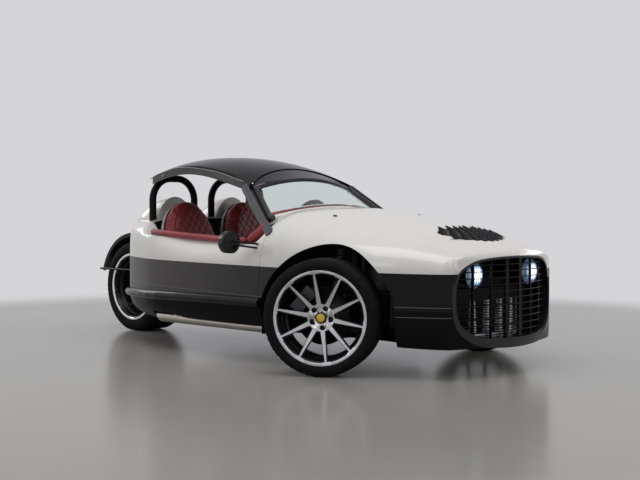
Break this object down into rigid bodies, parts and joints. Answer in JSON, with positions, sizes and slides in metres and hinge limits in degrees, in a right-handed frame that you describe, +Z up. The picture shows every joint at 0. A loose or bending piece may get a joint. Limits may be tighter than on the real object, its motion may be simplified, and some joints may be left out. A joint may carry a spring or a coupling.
{
  "type": "three wheeled car",
  "caption": "Open two seat three wheeled car with two steered front wheels, one rear wheel, a barred grille, a two tone body and a fixed roof panel.",
  "frame": {"origin": "on the ground under the middle of the car's length and width", "axes": "+X forward, +Y to the car's left, +Z up"},
  "size_m": [3.713, 2.003, 1.2531],
  "materials": {
    "body_dark": "gloss lacquer",
    "body_white": "gloss lacquer",
    "bright_metal": "polished",
    "carpet": "carpet",
    "cast_alloy": "cast",
    "frame_paint": "satin",
    "glass": "clear",
    "gloss_black": "gloss",
    "lamp": "clear lens",
    "lamp_red": "red lens",
    "red_leather": "grained",
    "rim_alloy": "machined face on black",
    "satin_black": "satin",
    "steel": "brushed",
    "tyre_rubber": "matt"
  },
  "bodies": {
    "root": {"body_lower": "body_dark", "body_upper": "body_white", "bulkhead": "satin_black", "centre_console": "satin_black", "coamings": "red_leather", "cockpit_floor": "carpet", "coilovers": "frame_paint", "dash": "satin_black", "engine_block": "cast_alloy", "exhausts": "steel", "fairings": "body_white", "firewall": "satin_black", "front_lower": "body_dark", "grille_bars": "satin_black", "grille_fins": "bright_metal", "grille_surround": "satin_black", "half_shafts": "frame_paint", "headlamps": "lamp", "hood_clip": "body_white", "hood_vent": "satin_black", "jack_pads": "satin_black", "lower_arms": "frame_paint", "mirrors": "gloss_black", "mudguard": "gloss_black", "pillar_plates": "satin_black", "rack_housing": "frame_paint", "radiator": "satin_black", "rear_shock": "frame_paint", "rocker_ridges": "gloss_black", "roll_hoops": "satin_black", "roof_panel": "gloss_black", "seat_back_left": "red_leather", "seat_back_right": "red_leather", "seat_cushion_left": "red_leather", "seat_cushion_right": "red_leather", "steering_column": "satin_black", "subframe": "frame_paint", "swingarm": "frame_paint", "tail_lamps": "lamp_red", "upper_arms": "frame_paint", "wheel_well": "satin_black", "windscreen_frame": "satin_black", "windscreen_glass": "glass"},
    "knuckle_left": {"knuckle_left": "cast_alloy"},
    "knuckle_right": {"knuckle_right": "cast_alloy"},
    "wheel_front_left": {"tyre_front_left": "tyre_rubber", "rim_front_left": "rim_alloy", "disc_front_left": "steel"},
    "wheel_front_right": {"tyre_front_right": "tyre_rubber", "rim_front_right": "rim_alloy", "disc_front_right": "steel"},
    "wheel_rear": {"tyre_rear": "tyre_rubber", "rim_rear": "rim_alloy", "disc_rear": "steel"},
    "steering_wheel": {"steering_wheel": "satin_black"},
    "rack": {"steering_rack": "frame_paint"}
  },
  "joints": [
    {"name": "steer_left", "type": "hinge", "parent": "root", "child": "knuckle_left", "pos_m": [1.0765, 0.7, 0.32], "axis": [0, 0, 1], "range_deg": [-63.5, 2.5]},
    {"name": "steer_right", "type": "hinge", "parent": "root", "child": "knuckle_right", "pos_m": [1.0765, -0.7, 0.32], "axis": [0, 0, 1], "range_deg": [-63.5, 2.5]},
    {"name": "spin_front_left", "type": "hinge", "parent": "knuckle_left", "child": "wheel_front_left", "pos_m": [1.0765, 0.7, 0.32], "axis": [-0.5075, 0.8616, 0], "continuous": true},
    {"name": "spin_front_right", "type": "hinge", "parent": "knuckle_right", "child": "wheel_front_right", "pos_m": [1.0765, -0.7, 0.32], "axis": [-0.5075, 0.8616, 0], "continuous": true},
    {"name": "spin_rear", "type": "hinge", "parent": "root", "child": "wheel_rear", "pos_m": [-1.4735, 0, 0.328], "axis": [0, 1, 0], "continuous": true},
    {"name": "steering_wheel_turn", "type": "hinge", "parent": "root", "child": "steering_wheel", "pos_m": [-0.02, 0.27, 0.795], "axis": [-0.9455, 0, 0.3256], "range_deg": [-762, 30]},
    {"name": "rack_slide", "type": "slide", "parent": "root", "child": "rack", "axis": [0, 1, 0], "range_m": [-0.0056, 0.1364]}
  ],
  "couplings": [
    {"joint": "steer_right", "follows": "steer_left", "ratio": 1},
    {"joint": "steering_wheel_turn", "follows": "steer_left", "ratio": 12},
    {"joint": "rack_slide", "follows": "steer_left", "m_per_rad": -0.12293}
  ]
}
